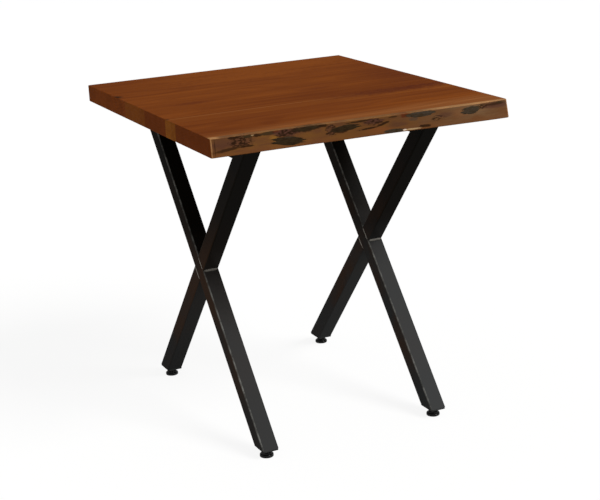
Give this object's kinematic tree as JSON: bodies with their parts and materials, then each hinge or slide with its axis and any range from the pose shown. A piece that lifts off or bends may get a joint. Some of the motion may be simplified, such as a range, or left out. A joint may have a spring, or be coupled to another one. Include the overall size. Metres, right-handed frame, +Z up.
{
  "type": "end table",
  "caption": "End table with a glued wooden top, a live edge along its front, welded steel X-frame legs and screw levelling feet.",
  "frame": {"origin": "on the floor, under the middle of the overall box", "axes": "+X to the right along the grain and the live edge, +Y from the live edge at the front to the straight back edge, +Z up"},
  "size_m": [0.5588, 0.635, 0.6096],
  "materials": {
    "top_wood": "satin lacquer over reddish brown stain",
    "pale_wood": "satin lacquer over reddish brown stain, paler board",
    "live_wood": "satin lacquer, natural edge with dark bark marks",
    "black_steel": "satin black powder coat",
    "black_screw": "black oxide",
    "zinc_steel": "zinc plated",
    "black_plastic": "moulded"
  },
  "bodies": {
    "table": {"top_board_1": "top_wood", "top_board_2": "top_wood", "top_board_3": "top_wood", "top_board_4": "top_wood", "top_board_5": "pale_wood", "live_edge_board": "live_wood", "left_long_leg": "black_steel", "left_upper_arm": "black_steel", "left_lower_leg": "black_steel", "left_top_rail": "black_steel", "left_top_plate": "black_steel", "left_crossing_welds": "black_steel", "left_rail_welds": "black_steel", "left_plate_screws": "black_screw", "right_long_leg": "black_steel", "right_upper_arm": "black_steel", "right_lower_leg": "black_steel", "right_top_rail": "black_steel", "right_top_plate": "black_steel", "right_crossing_welds": "black_steel", "right_rail_welds": "black_steel", "right_plate_screws": "black_screw", "front_left_foot_cap": "black_plastic", "front_right_foot_cap": "black_plastic", "back_left_foot_cap": "black_plastic", "back_right_foot_cap": "black_plastic", "front_left_foot_nut": "zinc_steel", "front_right_foot_nut": "zinc_steel", "back_left_foot_nut": "zinc_steel", "back_right_foot_nut": "zinc_steel"},
    "front_left_pad": {"front_left_foot_pad": "black_plastic"},
    "front_left_stem": {"front_left_foot_stem": "black_screw"},
    "front_right_pad": {"front_right_foot_pad": "black_plastic"},
    "front_right_stem": {"front_right_foot_stem": "black_screw"},
    "back_left_pad": {"back_left_foot_pad": "black_plastic"},
    "back_left_stem": {"back_left_foot_stem": "black_screw"},
    "back_right_pad": {"back_right_foot_pad": "black_plastic"},
    "back_right_stem": {"back_right_foot_stem": "black_screw"}
  },
  "joints": [
    {"name": "front_left_foot_lower", "type": "slide", "parent": "table", "child": "front_left_pad", "axis": [0, 0, -1], "range_m": [0, 0.00875]},
    {"name": "front_left_foot_turn", "type": "hinge", "parent": "front_left_pad", "child": "front_left_stem", "pos_m": [-0.176, -0.22057, 0.02], "axis": [0, 0, -1], "range_deg": [0, 2520]},
    {"name": "front_right_foot_lower", "type": "slide", "parent": "table", "child": "front_right_pad", "axis": [0, 0, -1], "range_m": [0, 0.00875]},
    {"name": "front_right_foot_turn", "type": "hinge", "parent": "front_right_pad", "child": "front_right_stem", "pos_m": [0.176, -0.22057, 0.02], "axis": [0, 0, -1], "range_deg": [0, 2520]},
    {"name": "back_left_foot_lower", "type": "slide", "parent": "table", "child": "back_left_pad", "axis": [0, 0, -1], "range_m": [0, 0.00875]},
    {"name": "back_left_foot_turn", "type": "hinge", "parent": "back_left_pad", "child": "back_left_stem", "pos_m": [-0.176, 0.24597, 0.02], "axis": [0, 0, -1], "range_deg": [0, 2520]},
    {"name": "back_right_foot_lower", "type": "slide", "parent": "table", "child": "back_right_pad", "axis": [0, 0, -1], "range_m": [0, 0.00875]},
    {"name": "back_right_foot_turn", "type": "hinge", "parent": "back_right_pad", "child": "back_right_stem", "pos_m": [0.176, 0.24597, 0.02], "axis": [0, 0, -1], "range_deg": [0, 2520]}
  ],
  "couplings": [
    {"joint": "front_left_foot_turn", "follows": "front_left_foot_lower", "rad_per_m": 5026.5},
    {"joint": "front_right_foot_turn", "follows": "front_right_foot_lower", "rad_per_m": 5026.5},
    {"joint": "back_left_foot_turn", "follows": "back_left_foot_lower", "rad_per_m": 5026.5},
    {"joint": "back_right_foot_turn", "follows": "back_right_foot_lower", "rad_per_m": 5026.5}
  ]
}
